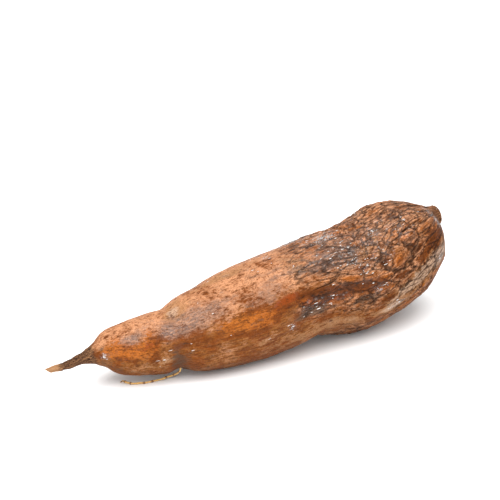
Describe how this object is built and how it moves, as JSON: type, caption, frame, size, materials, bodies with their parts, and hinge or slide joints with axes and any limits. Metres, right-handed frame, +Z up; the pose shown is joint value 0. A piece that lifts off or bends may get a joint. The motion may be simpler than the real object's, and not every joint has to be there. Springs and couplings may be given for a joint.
{
  "type": "cassava root",
  "caption": "Whole cassava root lying on its side, with a thin cut tail, a domed stem end with a short cut stub and a fine rootlet.",
  "frame": {"origin": "on the surface that the root lies on, under the middle of its box", "axes": "+X along the root from the tail to the stem end, +Z up, -Y the side that the rootlet shows on"},
  "size_m": [0.31, 0.077, 0.0844],
  "materials": {
    "root_skin": "scaly brown bark with a thin uneven wax coat"
  },
  "bodies": {
    "root": {"cassava_root": "root_skin"}
  },
  "joints": []
}
